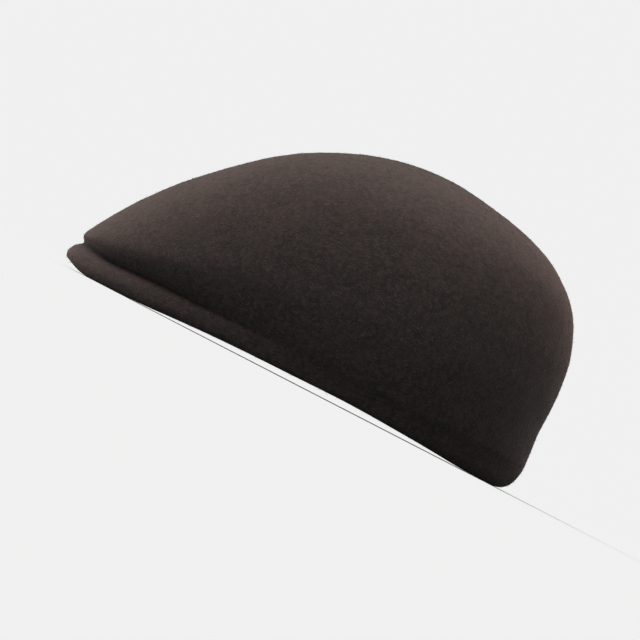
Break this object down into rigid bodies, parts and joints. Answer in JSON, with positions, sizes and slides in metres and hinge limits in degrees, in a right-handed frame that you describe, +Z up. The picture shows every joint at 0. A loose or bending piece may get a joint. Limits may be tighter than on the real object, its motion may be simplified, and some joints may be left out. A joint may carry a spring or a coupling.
{
  "type": "flat cap",
  "caption": "Hollow one-piece wool felt flat cap with a domed crown, a crease over a short rounded peak and a plain rim that curls in at the nape.",
  "frame": {"origin": "on the surface the cap rests on, under the middle of its length and width", "axes": "+Z up through the crown; -Y the way the peak points and +Y the nape; +X the wearer's left"},
  "size_m": [0.198, 0.266, 0.1332],
  "materials": {
    "wool_felt": "matte felted wool, dark brown with fine lighter fibres"
  },
  "bodies": {
    "root": {"cap": "wool_felt"}
  },
  "joints": []
}
